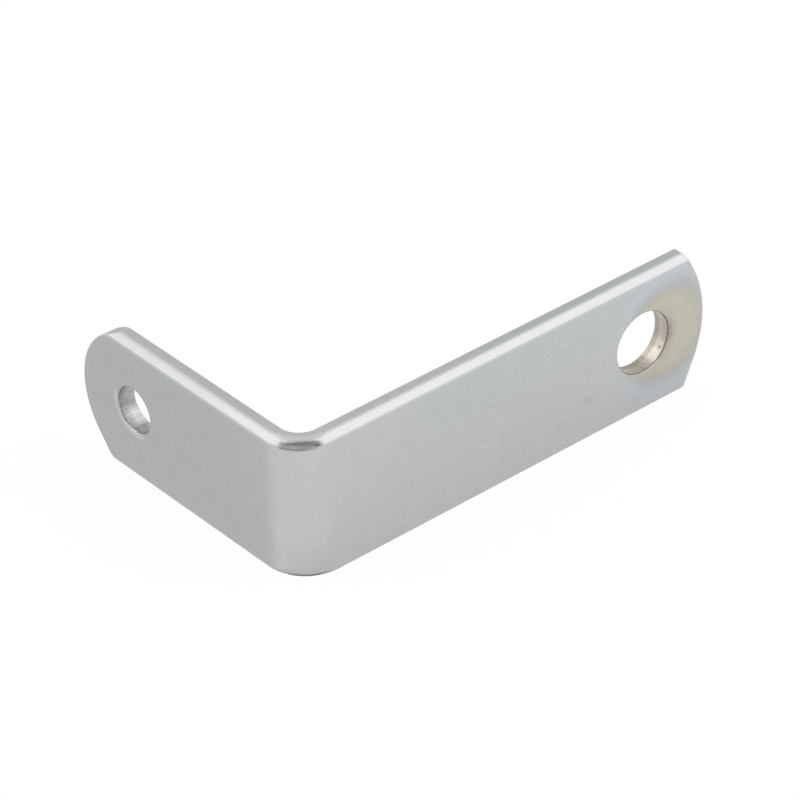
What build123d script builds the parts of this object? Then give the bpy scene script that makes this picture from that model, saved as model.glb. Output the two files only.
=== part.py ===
"""Bracket of plated steel strip: cropped and punched at both ends, then folded once to a right angle.

The long leg runs along +X and the short leg along +Y, and the part stands on its lower edge at z = 0.
The outer faces look towards -Y (long leg) and -X (short leg), and the inner faces look into the corner.
The origin is at the middle of the bounding box, at the height of the lower edge. Sizes are millimetres.
"""

import os

from build123d import *

# Strip
strip_width = 20.3
strip_thickness = 2.65
edge_roll = 1.4  # the upper outer edge, rolled over where the strip was slit
edge_break = 0.4  # the upper inner edge
rim_break = 0.2  # the lower edges and every cropped edge

# Fold: the metal thins round the corner, so the two radii have different centres
fold_outer_radius = 6.15
fold_inner_radius = 2.85

# Long leg
long_reach = 68.6  # from the short leg's outer face to the tip
long_nose_radius = 15.9
long_nose_rise = 0.4  # of the crown above the middle of the strip
long_flank = 26.0  # degrees from upright
long_corner_radius = 0.45  # the lower corner of the nose
long_hole_radius = 4.5
long_hole_to_tip = 10.7
long_hole_rise = 0.1  # above the middle of the strip
long_hole_break_angle = 2.5  # degrees from the hole's axis

# Short leg
short_reach = 43.5  # from the long leg's outer face to the tip
short_nose_radius = 10.9
short_nose_rise = -0.3  # this crown is below the middle
short_lower_flank = 39.0
short_upper_flank = 74.0  # the crown runs on to the upper edge
short_corner_radius = 1.7  # the lower corner of the nose
short_hole_radius = 3.15
short_hole_to_tip = 10.6
short_hole_break_angle = 8.0

# Punched holes: a straight land behind the rolled-in entry rim, then a break that widens to the far face.
# The long leg is punched from its outer face, the short leg from its inner face.
hole_roll_in = 0.25
hole_land = 1.1

mid_width = strip_width / 2
fold_corner = Vector(-long_reach / 2, -short_reach / 2)  # where the two outer faces would meet

# Side views of the legs, with x along the leg from the fold corner and y upwards
long_side = Plane(fold_corner, x_dir=(1, 0, 0), z_dir=(0, -1, 0))
short_side = Plane(fold_corner, x_dir=(0, 1, 0), z_dir=(1, 0, 0))


def crop(side, reach, radius, rise, lower_flank, upper_flank):
    """Crop a leg to a round crown between two straight flanks, which run out past the strip's edges."""
    centre = (reach - radius, mid_width + rise)
    with BuildSketch(side) as outline:
        with BuildLine():
            crown = CenterArc(centre, radius, -lower_flank, lower_flank + upper_flank)
            lower = PolarLine(crown @ 0, strip_width, -90 - lower_flank)
            upper = PolarLine(crown @ 1, strip_width, 90 + upper_flank)
            behind = -strip_width
            Polyline(lower @ 1, (behind, (lower @ 1).Y), (behind, (upper @ 1).Y), upper @ 1)
        make_face()
    extrude(outline.sketch, amount=long_reach + short_reach, both=True, mode=Mode.INTERSECT)


def punch(entry, centre, radius, break_angle):
    """Punch a hole from its entry face: a straight wall, which widens from the end of its land."""
    land_end = hole_roll_in + hole_land
    with BuildSketch(entry) as straight:
        with Locations(centre):
            Circle(radius)
    extrude(straight.sketch, amount=-strip_thickness, mode=Mode.SUBTRACT)
    with BuildSketch(entry.offset(-land_end)) as widening:
        with Locations(centre):
            Circle(radius)
    extrude(widening.sketch, amount=land_end - strip_thickness, taper=-break_angle, mode=Mode.SUBTRACT)


def fold_arcs(face):
    """The face's two arcs round the fold, the inner one first."""
    return face.edges().filter_by(GeomType.CIRCLE).sort_by(SortBy.RADIUS)


with BuildPart() as bracket:
    # The folded strip, drawn from above
    with BuildSketch(Plane(fold_corner)):
        with BuildLine():
            FilletPolyline(
                (0, 0),
                (long_reach, 0),
                (long_reach, strip_thickness),
                (strip_thickness, strip_thickness),
                (strip_thickness, short_reach),
                (0, short_reach),
                radius=[fold_outer_radius, 0, 0, fold_inner_radius, 0, 0],
                close=True,
            )
        make_face()
    extrude(amount=strip_width)

    # The strip's upper edges. A fillet on the fold's arc runs on along both legs.
    fillet(fold_arcs(bracket.faces().sort_by(Axis.Z)[-1])[-1], edge_roll)
    fillet(fold_arcs(bracket.faces().sort_by(Axis.Z)[-1])[0], edge_break)

    # The noses, with the lower corner of each rounded
    crop(long_side, long_reach, long_nose_radius, long_nose_rise, long_flank, long_flank)
    crop(short_side, short_reach, short_nose_radius, short_nose_rise, short_lower_flank, short_upper_flank)
    fillet(bracket.faces().sort_by(Axis.Z)[0].edges().sort_by(Axis.X)[-1], long_corner_radius)
    fillet(bracket.faces().sort_by(Axis.Z)[0].edges().sort_by(Axis.Y)[-1], short_corner_radius)

    # One smooth run of edges is left: under both legs, round both noses and across their tops
    fillet(fold_arcs(bracket.faces().sort_by(Axis.Z)[0])[0], rim_break)

    long_hole_centre = (long_reach - long_hole_to_tip, mid_width + long_hole_rise)
    punch(long_side, long_hole_centre, long_hole_radius, long_hole_break_angle)
    short_hole_centre = (short_reach - short_hole_to_tip, mid_width)
    punch(short_side.offset(strip_thickness), short_hole_centre, short_hole_radius, short_hole_break_angle)

    # Both rims of the short leg's hole are rounded over, and the outer one of the long leg's
    fillet(bracket.faces().sort_by(Axis.Y)[0].inner_wires().edges(), hole_roll_in)
    short_rims = [face.inner_wires()[0].edge() for face in bracket.faces().filter_by(Axis.X)]
    fillet(short_rims, hole_roll_in)

bracket.part.label = "bracket"

os.makedirs("parts", exist_ok=True)
export_step(bracket.part, "parts/bracket.step")
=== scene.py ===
"""Studio scene for the plated strip bracket: its surface, the floor, a light tent and the camera. Metres."""

from math import atan2, cos, degrees, exp, radians, sin, tan

import bpy
from mathutils import Euler, Matrix, Vector


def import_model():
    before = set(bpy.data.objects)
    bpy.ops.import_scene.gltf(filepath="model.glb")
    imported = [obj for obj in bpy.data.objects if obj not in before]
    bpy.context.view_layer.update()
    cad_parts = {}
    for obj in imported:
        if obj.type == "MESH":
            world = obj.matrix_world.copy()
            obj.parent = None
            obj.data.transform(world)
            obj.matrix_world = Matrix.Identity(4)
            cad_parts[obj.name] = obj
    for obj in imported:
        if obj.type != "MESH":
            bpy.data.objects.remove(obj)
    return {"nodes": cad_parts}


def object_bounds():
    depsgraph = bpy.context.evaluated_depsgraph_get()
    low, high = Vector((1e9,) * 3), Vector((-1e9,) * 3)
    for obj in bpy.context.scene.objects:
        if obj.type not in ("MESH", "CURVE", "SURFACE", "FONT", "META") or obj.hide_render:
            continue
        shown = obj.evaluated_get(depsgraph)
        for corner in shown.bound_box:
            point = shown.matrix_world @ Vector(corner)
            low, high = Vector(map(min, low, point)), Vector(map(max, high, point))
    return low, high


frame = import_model()
cad_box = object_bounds()
scene = bpy.context.scene
scene.view_settings.view_transform = "Standard"


# ------------------------------------------------------------------ nodes
class Nodes:
    """A node tree, with short calls for the few kinds of node used. Colours are linear, without alpha."""

    def __init__(self, tree):
        self.tree = tree
        tree.nodes.clear()

    def put(self, socket, value):
        if isinstance(value, bpy.types.NodeSocket):
            self.tree.links.new(value, socket)
        else:
            socket.default_value = (*value, 1) if socket.type == "RGBA" else value

    def add(self, kind, settings=None, **inputs):
        node = self.tree.nodes.new("ShaderNode" + kind)
        for name, value in (settings or {}).items():
            setattr(node, name, value)
        for name, value in inputs.items():
            self.put(node.inputs[name.replace("_", " ")], value)
        return node

    def out(self, kind, shader):
        self.put(self.add(kind).inputs["Surface"], shader)

    # Arithmetic
    def math(self, operation, *values):
        node = self.add("Math", {"operation": operation})
        for socket, value in zip(node.inputs, values):
            self.put(socket, value)
        return node.outputs[0]

    def plus(self, total, *others):
        for other in others:
            total = self.math("ADD", total, other)
        return total

    def times(self, product, *others):
        for other in others:
            product = self.math("MULTIPLY", product, other)
        return product

    def minus(self, a, b):
        return self.math("SUBTRACT", a, b)

    def greater(self, a, b):
        return self.math("MAXIMUM", a, b)

    def distance(self, a, b, centre):
        """How far the point (a, b) is from a centre."""
        da, db = self.minus(a, centre[0]), self.minus(b, centre[1])
        return self.math("SQRT", self.plus(self.times(da, da), self.times(db, db)))

    def turn(self, a, b, centre):
        """The angle in radians at which the point (a, b) lies round a centre, 0 being along a."""
        return self.math("ARCTAN2", self.minus(b, centre[1]), self.minus(a, centre[0]))

    # From one value to another
    def ramp(self, value, low, high, start=0.0, end=1.0, kind="SMOOTHSTEP"):
        """From start, where the value is low, to end, where it is high. Low may be the larger of the two."""
        node = self.add("MapRange", {"interpolation_type": kind}, Value=value,
                        From_Min=low, From_Max=high, To_Min=start, To_Max=end)
        return node.outputs[0]

    def between(self, value, low, rise, fall, high):
        """1 from rise to fall, and 0 below low and above high."""
        return self.times(self.ramp(value, low, rise), self.ramp(value, high, fall))

    def near(self, value, centre, far, close, start=0.0, end=1.0):
        """From start, where the value is far from a centre, to end, where it is close to it."""
        return self.ramp(self.math("ABSOLUTE", self.minus(value, centre)), far, close, start, end)

    def blend(self, factor, a, b):
        node = self.add("Mix", {"data_type": "FLOAT"})
        for index, value in ((0, factor), (2, a), (3, b)):
            self.put(node.inputs[index], value)
        return node.outputs[0]

    # Colours and patterns
    def mix(self, factor, a, b, kind="MIX"):
        node = self.add("Mix", {"data_type": "RGBA", "blend_type": kind})
        for index, value in ((0, factor), (6, a), (7, b)):
            self.put(node.inputs[index], value)
        return node.outputs[2]

    def shaded(self, colour, shade):
        grey = self.add("CombineColor", Red=shade, Green=shade, Blue=shade).outputs[0]
        return self.mix(1.0, colour, grey, "MULTIPLY")

    def noise(self, vector, size, detail=2.0, rough=0.5):
        """Noise whose blobs are about size across, in the units of the vector."""
        node = self.add("TexNoise", Vector=vector, Scale=1.0 / size, Detail=detail, Roughness=rough)
        return node.outputs["Fac"]


def material(name):
    made = bpy.data.materials.new(name)
    made.use_nodes = True
    return made, Nodes(made.node_tree)


# ------------------------------------------------------------------ metal
# Places on the bracket, in mm. The outer faces are the planes x = OUTER_X, on the short leg, and y = OUTER_Y,
# on the long leg. A place on the long leg is given by its x and z, and one on the short leg by its y and z.
OUTER_X, OUTER_Y = (1000 * side for side in cad_box[0][:2])
LONG_HOLE, LONG_HOLE_RADIUS = (23.6, 10.25), 4.5
SHORT_HOLE, SHORT_HOLE_RADIUS = (11.15, 10.15), 3.33
FOLD_SHADE_AND_WAVES = (OUTER_X + 2.4, OUTER_Y + 1.4)  # x and y of the middle of the painted shade and the stretch waves at the fold
TINT_CENTRE, TINT_REACH = (27.65, 10.1), 12.0
SMUDGE, SPECK = (13.84, 5.88), (17.71, 13.32)
NICK, NICK_DEPTH = (27.24, 7.60), 0.8

# Colours of the plated faces
BODY = (0.538, 0.538, 0.548)
SHORT_FACE = (0.537, 0.540, 0.542)
TEAL = (0.510, 0.530, 0.537)
UPPER_EDGE = (0.455, 0.480, 0.490)
SHORT_BAND = (0.490, 0.490, 0.503)
# The colour of the painted shade along the fold's lower edge
FOLD_SHADE_COLOUR = (0.13, 0.115, 0.11)
STRAW = (0.520, 0.502, 0.426)
TINT = (  # each with its distance from the tint's centre
    (5.0, STRAW), (5.6, (0.500, 0.474, 0.402)), (6.2, (0.475, 0.462, 0.418)), (6.8, (0.455, 0.466, 0.450)),
    (7.5, (0.472, 0.496, 0.510)), (8.6, (0.515, 0.542, 0.558)), (11.5, TEAL),
)
# A painted shade by the larger hole's rim, and a painted highlight by the smaller hole's rim
RIM_SHADE_COLOUR = (0.30, 0.275, 0.225)
RIM_HIGHLIGHT_COLOUR = (0.655, 0.655, 0.680)
MARK = (0.22, 0.21, 0.20)

# Colours of the cut metal
SHORT_WALL, SHORT_WALL_UPPER = (0.446, 0.447, 0.450), (0.428, 0.450, 0.450)
LONG_WALL = (0.520, 0.480, 0.420)
END_FACE = (0.385, 0.385, 0.375)
NICK_COLOUR = (0.12, 0.11, 0.10)
MOUTH_LINE = (0.20, 0.19, 0.165)


class Place:
    """Where a point of the bracket lies, how it faces and what pattern it has, as sockets. Lengths in mm."""

    def __init__(self, n):
        coordinates = n.add("TexCoord").outputs
        scaled = n.add("VectorMath", {"operation": "SCALE"}, Vector=coordinates["Object"], Scale=1000.0)
        self.mm = scaled.outputs[0]
        self.x, self.y, self.z = x, y, z = n.add("SeparateXYZ", Vector=self.mm).outputs
        facing = n.add("SeparateXYZ", Vector=coordinates["Normal"]).outputs
        self.facing_x, self.facing_y, self.facing_z = facing
        self.on_short = n.ramp(x, OUTER_X + 3.1, OUTER_X + 2.8)
        self.on_long_face = n.ramp(y, OUTER_Y + 0.85, OUTER_Y + 0.15)
        self.outer = n.greater(n.ramp(self.facing_x, -0.80, -0.97), n.ramp(self.facing_y, -0.80, -0.97))
        self.depth = n.blend(self.on_short, n.minus(y, OUTER_Y), n.minus(x, OUTER_X))  # behind the outer face
        self.from_corner = n.distance(x, y, (OUTER_X, OUTER_Y))
        self.from_fold_shade_and_waves = n.distance(x, y, FOLD_SHADE_AND_WAVES)
        self.from_long, self.from_short = n.distance(x, z, LONG_HOLE), n.distance(y, z, SHORT_HOLE)
        self.long_turn, self.short_turn = n.turn(x, z, LONG_HOLE), n.turn(y, z, SHORT_HOLE)

        # The cut metal: the walls of both holes, and the end faces
        self.in_long = n.times(n.ramp(self.from_long, LONG_HOLE_RADIUS + 0.20, LONG_HOLE_RADIUS + 0.10),
                               n.minus(1.0, self.on_short))
        self.in_short = n.times(n.ramp(self.from_short, SHORT_HOLE_RADIUS + 0.20, SHORT_HOLE_RADIUS + 0.10),
                                self.on_short)
        in_hole = n.plus(self.in_long, self.in_short)
        short_end = n.times(n.ramp(self.facing_y, 0.25, 0.40), self.on_short)
        long_end = n.times(n.ramp(self.facing_x, 0.25, 0.40), n.ramp(x, 20.0, 22.0))
        self.end = n.times(n.plus(short_end, long_end), n.minus(1.0, in_hole))
        self.cut = n.greater(in_hole, self.end)

        # Patterns. The streaks of the cut metal run through the thickness of the strip.
        self.grain, self.cloud = n.noise(self.mm, 0.28, 3.0, 0.6), n.noise(self.mm, 2.5, 2.0)
        along_short = n.add("CombineXYZ", X=n.times(x, 0.10), Y=y, Z=z).outputs[0]
        along_long = n.add("CombineXYZ", X=x, Y=n.times(y, 0.30), Z=z).outputs[0]
        self.streaks = n.blend(self.on_short, n.noise(along_long, 0.40, 4.0, 0.65),
                               n.noise(along_short, 0.24, 3.0, 0.6))

        # A painted highlight on one part of the larger hole's wall, and the rough part where the metal broke
        # away
        self.painted_wall_highlight = n.between(self.long_turn, -1.22, -1.00, -0.85, -0.58)
        broken = n.ramp(n.plus(self.depth, n.times(self.streaks, 0.3)), 1.75, 2.05)
        self.broken = n.times(broken, self.in_long)


def body_colour(n, at):
    """Neutral at the fold and slightly teal towards the tips and the upper edge, which is darker where it
    faces up and on the short leg's rounded part.
    """
    body = n.mix(n.times(at.on_short, at.outer), BODY, SHORT_FACE)
    teal = n.times(n.ramp(at.z, 2.0, 17.0), n.ramp(at.from_corner, 6.0, 26.0), at.outer,
                   n.ramp(at.on_short, 0, 1, 1.0, 0.8))
    colour = n.mix(teal, body, TEAL)
    upper = n.plus(n.ramp(at.from_corner, 5.0, 12.0, 0.0, 0.5), n.ramp(at.x, -15.0, 15.0, 0.0, 0.5))
    colour = n.mix(n.times(upper, n.ramp(at.facing_z, 0.90, 0.98)), colour, UPPER_EDGE)
    band = n.times(n.between(at.facing_z, 0.45, 0.60, 0.90, 0.96), at.on_short, n.ramp(at.y, -14.0, 0.0))
    return n.mix(band, colour, SHORT_BAND)


def fold_painted_shade(n, at, colour):
    """Painted shade at the fold: a dark line along its lower edge, and a faint painted shade above it."""
    line = n.times(n.ramp(at.z, 0.50, 0.25), n.ramp(at.from_fold_shade_and_waves, 4.0, 1.2, 0.0, 0.80))
    shade = n.times(n.ramp(at.z, 7.0, 1.5, 0.0, 0.065), n.ramp(at.from_fold_shade_and_waves, 5.2, 2.8))
    outside = n.ramp(n.plus(at.x, at.y), OUTER_X + OUTER_Y + 12.05, OUTER_X + OUTER_Y + 8.05)
    return n.mix(n.times(n.greater(line, shade), outside), colour, FOLD_SHADE_COLOUR)


def straw_tint(n, at, colour):
    """A straw tint round the larger hole, with a bluish fringe."""
    wobble = n.times(n.minus(n.noise(at.mm, 3.0, 1.0), 0.5), 1.2)
    radius = n.plus(n.distance(at.x, at.z, TINT_CENTRE), wobble)
    tint = n.add("ValToRGB", Fac=n.math("DIVIDE", radius, TINT_REACH))
    stops = tint.color_ramp.elements
    while len(stops) < len(TINT):
        stops.new(1.0)
    for stop, (distance, rgb) in zip(stops, TINT):
        stop.position = distance / TINT_REACH
        stop.color = (*rgb, 1)
    share = n.times(at.on_long_face, at.outer, n.ramp(radius, 11.4, 9.0))
    return n.mix(share, colour, tint.outputs["Color"])


def rim_painted_light(n, at, colour):
    """A painted shade by the larger hole's rim and a painted highlight ring by the smaller hole's rim, both
    on the side of the tip.
    """
    right_rim = n.times(n.near(at.z, TINT_CENTRE[1], 2.3, 0.2), n.ramp(at.x, 26.5, 27.5))
    painted_rim_shade = n.plus(n.times(n.ramp(at.from_long, 6.3, 4.6, 0.0, 0.20), n.ramp(at.x, 24.5, 28.0)),
                  n.times(n.ramp(at.from_long, 5.4, 4.7, 0.0, 0.30), n.ramp(at.x, 27.6, 28.3)),
                  n.times(n.ramp(at.from_long, 6.3, 5.2, 0.0, 0.22), right_rim))
    colour = n.mix(n.times(painted_rim_shade, at.on_long_face), colour, RIM_SHADE_COLOUR)
    leaning_y = n.minus(at.y, n.times(n.minus(at.z, SHORT_HOLE[1]), 0.35))
    painted_rim_highlight = n.times(n.between(at.from_short, 3.35, 3.6, 3.8, 4.3), at.on_short, n.ramp(at.z, 12.6, 10.6),
                   n.ramp(leaning_y, 9.9, 11.3), n.ramp(at.facing_x, -0.30, -0.60))
    return n.mix(painted_rim_highlight, colour, RIM_HIGHLIGHT_COLOUR)


def handling_marks(n, at, colour):
    """A smudge on the long leg, and a speck near the short leg's tip."""
    smudge_radius = n.plus(n.distance(at.x, at.z, SMUDGE), n.times(at.grain, 0.6))
    smudge = n.times(n.ramp(smudge_radius, 1.4, 0.4, 0.0, 0.15), at.on_long_face)
    speck = n.times(n.ramp(n.distance(at.y, at.z, SPECK), 0.22, 0.08, 0.0, 0.30), at.on_short)
    return n.mix(n.plus(smudge, speck), colour, MARK)


def satin(n, at, colour):
    """Fine grain, fainter on the short leg, and slow clouds."""
    grain = n.times(n.ramp(at.grain, 0.3, 0.7, -0.045, 0.045, "LINEAR"),
                    n.ramp(at.on_short, 0, 1, 1.0, 0.65))
    return n.shaded(colour, n.plus(grain, n.ramp(at.cloud, 0.3, 0.7, 0.985, 1.015, "LINEAR")))


def short_wall_painted_light(n, at):
    """The smaller hole's wall, with light painted by angle and depth: a painted highlight on the torn outer
    part, at the mouth and deep on one side, a light score line, and a painted shade at its foot.
    """
    # Painted light: highlights on the torn outer part, at the mouth and deep on one side, and shade at the
    # foot
    torn = n.ramp(n.plus(at.depth, n.times(at.streaks, 0.4)), 1.75, 1.25, 1.02, 1.52)
    mouth_painted_light = n.ramp(at.short_turn, -1.35, -1.05, 1.00, 1.15)
    shade = n.blend(n.ramp(at.depth, 0.30, 0.20), torn, mouth_painted_light)
    painted_inner_highlight = n.times(n.near(at.short_turn, -0.30, 0.40, 0.10), n.ramp(at.depth, 1.1, 1.6))
    score = n.near(at.short_turn, -0.40, 0.06, 0.02, 1.0, 1.35)
    painted_foot_shade = n.times(n.ramp(at.short_turn, -1.25, -1.50), n.between(at.depth, 0.20, 0.45, 1.6, 2.3))
    return n.times(shade, n.ramp(painted_inner_highlight, 0, 1, 1.0, 1.30), score, n.ramp(painted_foot_shade, 0, 1, 1.0, 0.70),
                   n.ramp(at.short_turn, -0.60, -0.30, 1.05, 0.94))


def long_wall_painted_light(n, at):
    """The larger hole's wall: a painted highlight in one place, and painted shade below that."""
    return n.plus(n.ramp(at.painted_wall_highlight, 0, 1, 0.95, 1.17), n.ramp(at.long_turn, -1.15, -1.40, 0.0, -0.17))


def cut_metal(n, at):
    """The colour of the hole walls and the end faces, with streaks through the thickness, one nick, and light
    and shade painted on the hole walls.
    """
    upper = n.ramp(n.minus(at.z, n.times(at.y, 0.3)), 4.5, 6.0)
    colour = n.mix(upper, SHORT_WALL, SHORT_WALL_UPPER)
    colour = n.mix(at.in_long, colour, LONG_WALL)
    colour = n.mix(at.end, colour, END_FACE)
    lines = n.times(n.ramp(at.streaks, 0.30, 0.70, -0.17, 0.17, "LINEAR"),
                    n.ramp(at.in_short, 0, 1, 1.0, 1.6))
    walls = n.blend(at.in_long, 1.0, long_wall_painted_light(n, at))
    walls = n.blend(at.in_short, walls, short_wall_painted_light(n, at))
    speckle = n.ramp(n.noise(at.mm, 0.17, 2.0, 0.6), 0.3, 0.7, 0.93, 1.07, "LINEAR")
    shade = n.times(n.plus(1.0, lines), n.ramp(at.broken, 0, 1, 1.0, 0.84), walls,
                    n.blend(at.in_long, 1.0, speckle))
    colour = n.shaded(colour, shade)
    from_nick = n.plus(n.distance(at.x, at.z, NICK), n.math("ABSOLUTE", n.minus(at.depth, NICK_DEPTH)))
    return n.mix(n.times(n.ramp(from_nick, 0.42, 0.15, 0.0, 0.62), at.in_long), colour, NICK_COLOUR)


def mouth_line(n, at):
    """How strong the torn line is at the mouth of each hole, with the burr on the larger one's rim."""
    ragged = n.noise(at.mm, 0.45, 3.0, 0.7)
    wander = n.times(n.minus(ragged, 0.5), n.ramp(at.on_short, 0, 1, 0.25, 0.70))
    strength = n.plus(n.times(at.in_long, n.ramp(at.painted_wall_highlight, 0, 1, 1.0, 0.5)),
                      n.times(at.in_short, 0.36))
    line = n.times(n.between(n.plus(at.depth, wander), 0.10, 0.20, 0.28, 0.42), strength,
                   n.ramp(ragged, 0.35, 0.60, 0.25, 0.75))
    right_burr = n.times(n.ramp(at.x, 27.0, 27.8, 0.0, 0.65), n.ramp(at.z, 7.5, 9.2))
    low_burr = n.times(n.ramp(at.x, 26.0, 25.0, 0.0, 0.25), n.ramp(at.z, 7.5, 6.5))
    burr = n.times(n.plus(right_burr, low_burr), n.ramp(at.depth, 0.25, 0.12), at.in_long,
                   n.ramp(ragged, 0.30, 0.55, 0.6, 1.1))
    return n.greater(line, burr)


def roughness(n, at):
    plated = n.ramp(at.cloud, 0.3, 0.7, 0.17, 0.21, "LINEAR")
    return n.blend(at.cut, plated, n.blend(at.broken, n.blend(at.end, 0.32, 0.40), 0.45))


def relief(n, at):
    """Grain, faint waves where the fold stretched the rolled edge, and streaks on the cut metal."""
    stretched = n.times(n.between(at.facing_z, 0.08, 0.30, 0.75, 0.95),
                        n.ramp(at.from_fold_shade_and_waves, 4.6, 2.8, 0.0, 8.5))
    waves = n.times(n.minus(n.noise(at.mm, 0.9, 3.0, 0.75), 0.5), stretched)
    height = n.blend(at.cut, n.plus(at.grain, waves), n.times(at.streaks, 2.5))
    return n.add("Bump", Strength=0.25, Distance=0.00002, Height=height).outputs[0]


def plated_steel():
    made, n = material("plated_steel")
    at = Place(n)
    colour = body_colour(n, at)
    for layer in (fold_painted_shade, straw_tint, rim_painted_light, handling_marks, satin):
        colour = layer(n, at, colour)
    colour = n.mix(at.cut, colour, cut_metal(n, at))
    colour = n.mix(mouth_line(n, at), colour, MOUTH_LINE)
    shader = n.add("BsdfPrincipled", Metallic=1.0, Base_Color=colour, Normal=relief(n, at),
                   Roughness=roughness(n, at))
    n.out("OutputMaterial", shader.outputs[0])
    return made


bracket = frame["nodes"]["bracket"]
metal = plated_steel()
for material_slot in bracket.material_slots:
    material_slot.material = metal


# ------------------------------------------------------------------ studio
CAMERA_PLACE, CLIP_START = Vector((-0.273234, -0.334892, 0.296251)), 0.01
CAMERA_YAW, CAMERA_PITCH, CAMERA_ROLL = 39.2471, 34.2995, 2.0585  # degrees
LENS, SENSOR = 179.554, 36.0  # mm
CAMERA_AZIMUTH = degrees(atan2(CAMERA_PLACE.y, CAMERA_PLACE.x))  # as seen from the bracket

# The tent and the dark flag near the bend. Azimuths and elevations are in degrees.
SHEET_LOWEST = 0.0005  # so that no sheet goes through the floor
TENT_RADIUS, TENT_FOOT, TENT_TOP = 0.5, -1, 84
FLAG_RADIUS, FLAG_CENTRE, FLAG_TOP = 0.052, (-0.030, -0.017), 17
FLAG_LEFT_END, FLAG_RIGHT_END = -50, 34  # from the camera

# How bright they are, 1 being white. The right and left are the camera's.
FAR_RIGHT, FAR_LEFT = 0.86, 0.82
SIDE, RIGHT_FOOT, LEFT_FOOT = 1.55, 0.95, 1.25
GAP, GAP_FOOT, GAP_FOOT_PEAK, GAP_OVERHEAD, STAND = 0.33, 0.56, 0.13, 0.95, 0.16
FLAG, FLAG_RIGHT_GAIN, FLAG_TOP_GAIN = 0.38, 0.34, 0.02
WHITE, WARM = (1.0, 1.0, 1.0), (1.0, 0.945, 0.92)  # the colour of bright and of dim parts

# A grey card on the floor along the short leg, a painted shadow that only reflections show: its corner near
# the fold, how far out its columns lie and the y of its rows, in mm. It is SHADOW_CARD bright at the leg,
# brighter further out, and nearly white beside its fan.
SHADOW_CARD_CORNER, SHADOW_CARD_HEIGHT = (-34.5, -16.2), 0.0002  # the height in metres
SHADOW_CARD_COLUMNS = (0, 1, 2, 4, 6, 9, 12, 15, 18, 23, 30, 45)
SHADOW_CARD_ROWS = (-30, -24, -20, -17, -15, -12, -8, -4, 0, 6, 12, 20, 40, 175)
SHADOW_CARD, SHADOW_CARD_MIDDLE_GAIN, SHADOW_CARD_OUTER_GAIN, SHADOW_CARD_BESIDE_FAN = 0.765, 0.020, 0.165, 0.98

# The floor is lit paper mixed with an even white glow. The glow is half of what the metal reflects and nearly
# all of what the camera sees, so the shadow stays but is very faint, as the photo's floor is blank.
FLOOR_HALF, PAPER = 3.0, (0.86, 0.86, 0.86)
GLOW_IN_METAL, GLOW_FOR_CAMERA = 0.50, 0.96

# The lamp, in degrees, metres and watts
KEY_AZIMUTH, KEY_ELEVATION, KEY_DISTANCE, KEY_SIZE, KEY_POWER = -50, 42, 0.9, 0.3, 1.6


def step(value, low, high):
    t = min(max((value - low) / (high - low), 0.0), 1.0)
    return t * t * (3 - 2 * t)


def between(value, low, rise, fall, high):
    return step(value, low, rise) * (1 - step(value, fall, high))


def blend(t, a, b):
    return a + (b - a) * t


def wall_glow(aside, lean, elevation):
    """The tent's far side and its bright sides, less bright at their feet and white at the top."""
    left = step(lean, -60, 60)
    far_share = (-0.3 - cos(radians(aside + blend(left, -6, 3)))) / 0.7
    far = blend(step(elevation, 30, 62), blend(step(lean, -8, 8), FAR_RIGHT, FAR_LEFT), 1.0)
    above_foot = step(elevation, blend(left, -6, -12), blend(left, 13, 10))
    near_top = step(elevation, blend(left, 62, 58), blend(left, 74, 70))
    side = blend(near_top, blend(above_foot, blend(left, RIGHT_FOOT, LEFT_FOOT), SIDE), 1.0)
    return blend(min(max(0.0, far_share) ** 1.6, 1.0), side, far)


def gap_glow(turn, elevation):
    """The gap round the camera: dim at its foot, darker above and light overhead, with a dark stand in it."""
    foot = GAP_FOOT + GAP_FOOT_PEAK * exp(-((turn + 16) / 16) ** 2)
    gap = blend(step(elevation, 12, 44), foot, GAP)
    gap = blend(step(elevation + max(0.0, -turn - 15) * 0.8, 52, 88), gap, GAP_OVERHEAD)
    return blend(between(turn, 24, 28, 36, 42) * between(elevation, 0, 6, 24, 32), gap, STAND)


def tent_glow(azimuth, elevation):
    """The tent's brightness by direction: walls, and a dark gap round the camera."""
    turn = (azimuth - CAMERA_AZIMUTH + 180) % 360 - 180  # from the camera, positive to its right
    aside, lean = abs(turn), turn % 360 - 180  # lean is from the far side, positive to the left
    left_edge = blend(step(elevation, 38, 50), 54, 62)
    wall_share = step(aside, 39, 45) if turn > 0 else step(aside, 43, left_edge)
    return blend(wall_share, gap_glow(turn, elevation), wall_glow(aside, lean, elevation))


def flag_glow(azimuth, elevation):
    """A dark flag close to the bend, less dark at its right end and its upper edge."""
    to_right = step(azimuth - CAMERA_AZIMUTH, -5, FLAG_RIGHT_END)
    return FLAG + FLAG_RIGHT_GAIN * to_right + FLAG_TOP_GAIN * step(elevation, 6, FLAG_TOP)


def glowing_sheet(name, points, rows, strengths):
    """A grid of points, column by column, that glows as its strengths say. The camera doesn't see it."""
    faces = [(a, a + 1, a + rows + 1, a + rows) for a in range(len(points) - rows) if (a + 1) % rows]
    mesh = bpy.data.meshes.new(name)
    mesh.from_pydata(points, [], faces)
    mesh.attributes.new("glow", "FLOAT", "POINT").data.foreach_set("value", strengths)
    sheet = bpy.data.objects.new(name, mesh)
    scene.collection.objects.link(sheet)
    made, n = material(name)
    strength = n.add("Attribute", {"attribute_name": "glow"}).outputs["Fac"]
    colour = n.mix(n.ramp(strength, 0.58, 0.72), WARM, WHITE)
    n.out("OutputMaterial", n.add("Emission", Color=colour, Strength=strength).outputs[0])
    mesh.materials.append(made)
    sheet.visible_camera = sheet.visible_shadow = False
    return sheet


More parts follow.
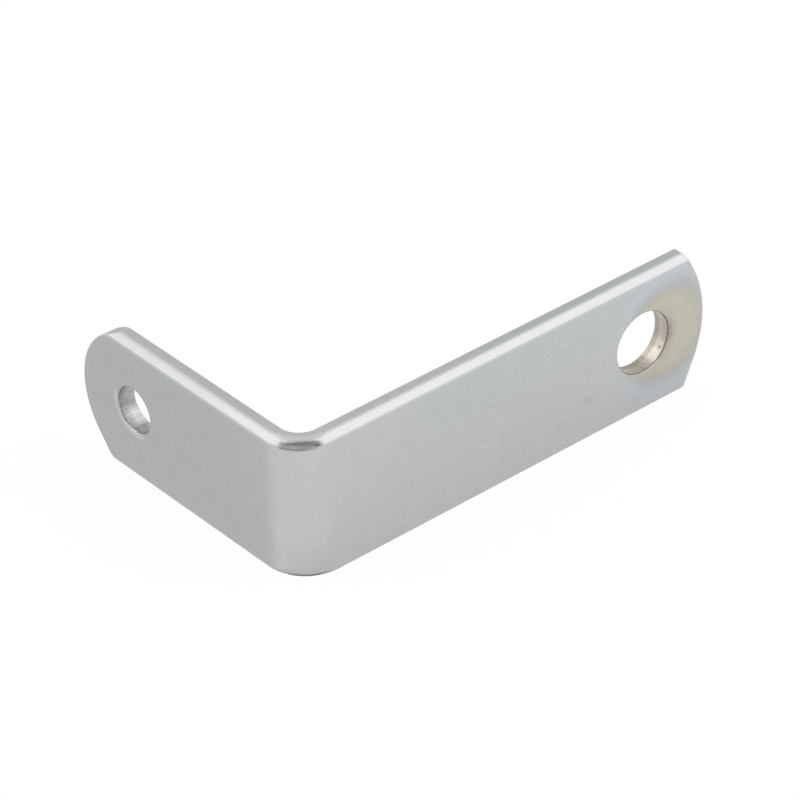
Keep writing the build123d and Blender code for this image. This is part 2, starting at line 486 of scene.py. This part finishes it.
def curved_sheet(name, radius, azimuths, elevations, columns, rows, glow, centre=(0, 0)):
    """A vertical sheet bent round the object, which glows by direction."""
    points, strengths = [], []
    for i in range(columns + 1):
        azimuth = blend(i / columns, *azimuths)
        for j in range(rows + 1):
            elevation = blend(j / rows, *elevations)
            points.append((centre[0] + radius * cos(radians(azimuth)),
                           centre[1] + radius * sin(radians(azimuth)),
                           max(SHEET_LOWEST, radius * tan(radians(elevation)))))
            strengths.append(glow(azimuth, elevation))
    return glowing_sheet(name, points, rows + 1, strengths)


def painted_floor_shadow():
    """The grey card: a painted shadow of the short leg, which only reflections show and which tones the short
    leg down. It is graded outwards, and fans out from its corner.
    """
    points, strengths = [], []
    for out in SHADOW_CARD_COLUMNS:
        shade = SHADOW_CARD + SHADOW_CARD_MIDDLE_GAIN * step(out, 0, 18) + SHADOW_CARD_OUTER_GAIN * step(out, 17, 46)
        for y in SHADOW_CARD_ROWS:
            fan = degrees(atan2(y - SHADOW_CARD_CORNER[1], -out - 0.01)) % 360
            points.append(((SHADOW_CARD_CORNER[0] - out) / 1000, y / 1000, SHADOW_CARD_HEIGHT))
            strengths.append(blend(step(fan, 114, 180), shade, SHADOW_CARD_BESIDE_FAN))
    return glowing_sheet("painted_floor_shadow", points, len(SHADOW_CARD_ROWS), strengths)


def floor():
    """Lit paper, mixed with an even glow where the camera or the metal sees it."""
    made, n = material("floor")
    paper = n.add("BsdfDiffuse", Color=PAPER)
    glow = n.add("Emission", Strength=1.0)
    ray = n.add("LightPath").outputs
    in_metal = n.greater(ray["Is Glossy Ray"], ray["Is Transmission Ray"])
    paper_share = n.minus(n.minus(1.0, n.times(in_metal, GLOW_IN_METAL)),
                          n.times(ray["Is Camera Ray"], GLOW_FOR_CAMERA))
    mixed = n.add("MixShader", Fac=paper_share)
    n.put(mixed.inputs[1], glow.outputs[0])
    n.put(mixed.inputs[2], paper.outputs[0])
    n.out("OutputMaterial", mixed.outputs[0])
    corners = [(FLOOR_HALF * x, FLOOR_HALF * y, 0) for x, y in ((-1, -1), (1, -1), (1, 1), (-1, 1))]
    mesh = bpy.data.meshes.new("floor")
    mesh.from_pydata(corners, [], [(0, 1, 2, 3)])
    mesh.materials.append(made)
    ground = bpy.data.objects.new("floor", mesh)
    scene.collection.objects.link(ground)


def world():
    made = bpy.data.worlds.new("studio")
    made.use_nodes = True
    n = Nodes(made.node_tree)
    n.out("OutputWorld", n.add("Background", Color=WHITE, Strength=1.0).outputs[0])
    scene.world = made


def key_lamp():
    """A soft lamp to the camera's right."""
    azimuth, elevation = radians(KEY_AZIMUTH), radians(KEY_ELEVATION)
    lamp = bpy.data.lights.new("key", "AREA")
    lamp.shape, lamp.size, lamp.energy = "DISK", KEY_SIZE, KEY_POWER
    made = bpy.data.objects.new("key", lamp)
    scene.collection.objects.link(made)
    direction = Vector((cos(elevation) * cos(azimuth), cos(elevation) * sin(azimuth), sin(elevation)))
    made.location = KEY_DISTANCE * direction
    made.rotation_euler = (-direction).to_track_quat("-Z", "Y").to_euler()
    made.visible_glossy = made.visible_camera = False


def camera():
    lens = bpy.data.cameras.new("camera")
    lens.sensor_width, lens.lens, lens.clip_start = SENSOR, LENS, CLIP_START
    made = bpy.data.objects.new("camera", lens)
    scene.collection.objects.link(made)
    facing = Euler((radians(90 - CAMERA_PITCH), 0, -radians(CAMERA_YAW))).to_matrix()
    turned = facing @ Matrix.Rotation(-radians(CAMERA_ROLL), 3, "Z")
    made.matrix_world = Matrix.Translation(CAMERA_PLACE) @ turned.to_4x4()
    scene.camera = made


floor()
world()
key_lamp()
camera()
curved_sheet("tent", TENT_RADIUS, (0, 360), (TENT_FOOT, TENT_TOP), 72, 20, tent_glow)
flag_ends = (CAMERA_AZIMUTH + FLAG_LEFT_END, CAMERA_AZIMUTH + FLAG_RIGHT_END)
near_flag = curved_sheet("near_flag", FLAG_RADIUS, flag_ends, (0, FLAG_TOP), 24, 3, flag_glow, FLAG_CENTRE)
near_flag.visible_diffuse = False
painted_floor_shadow().visible_diffuse = False
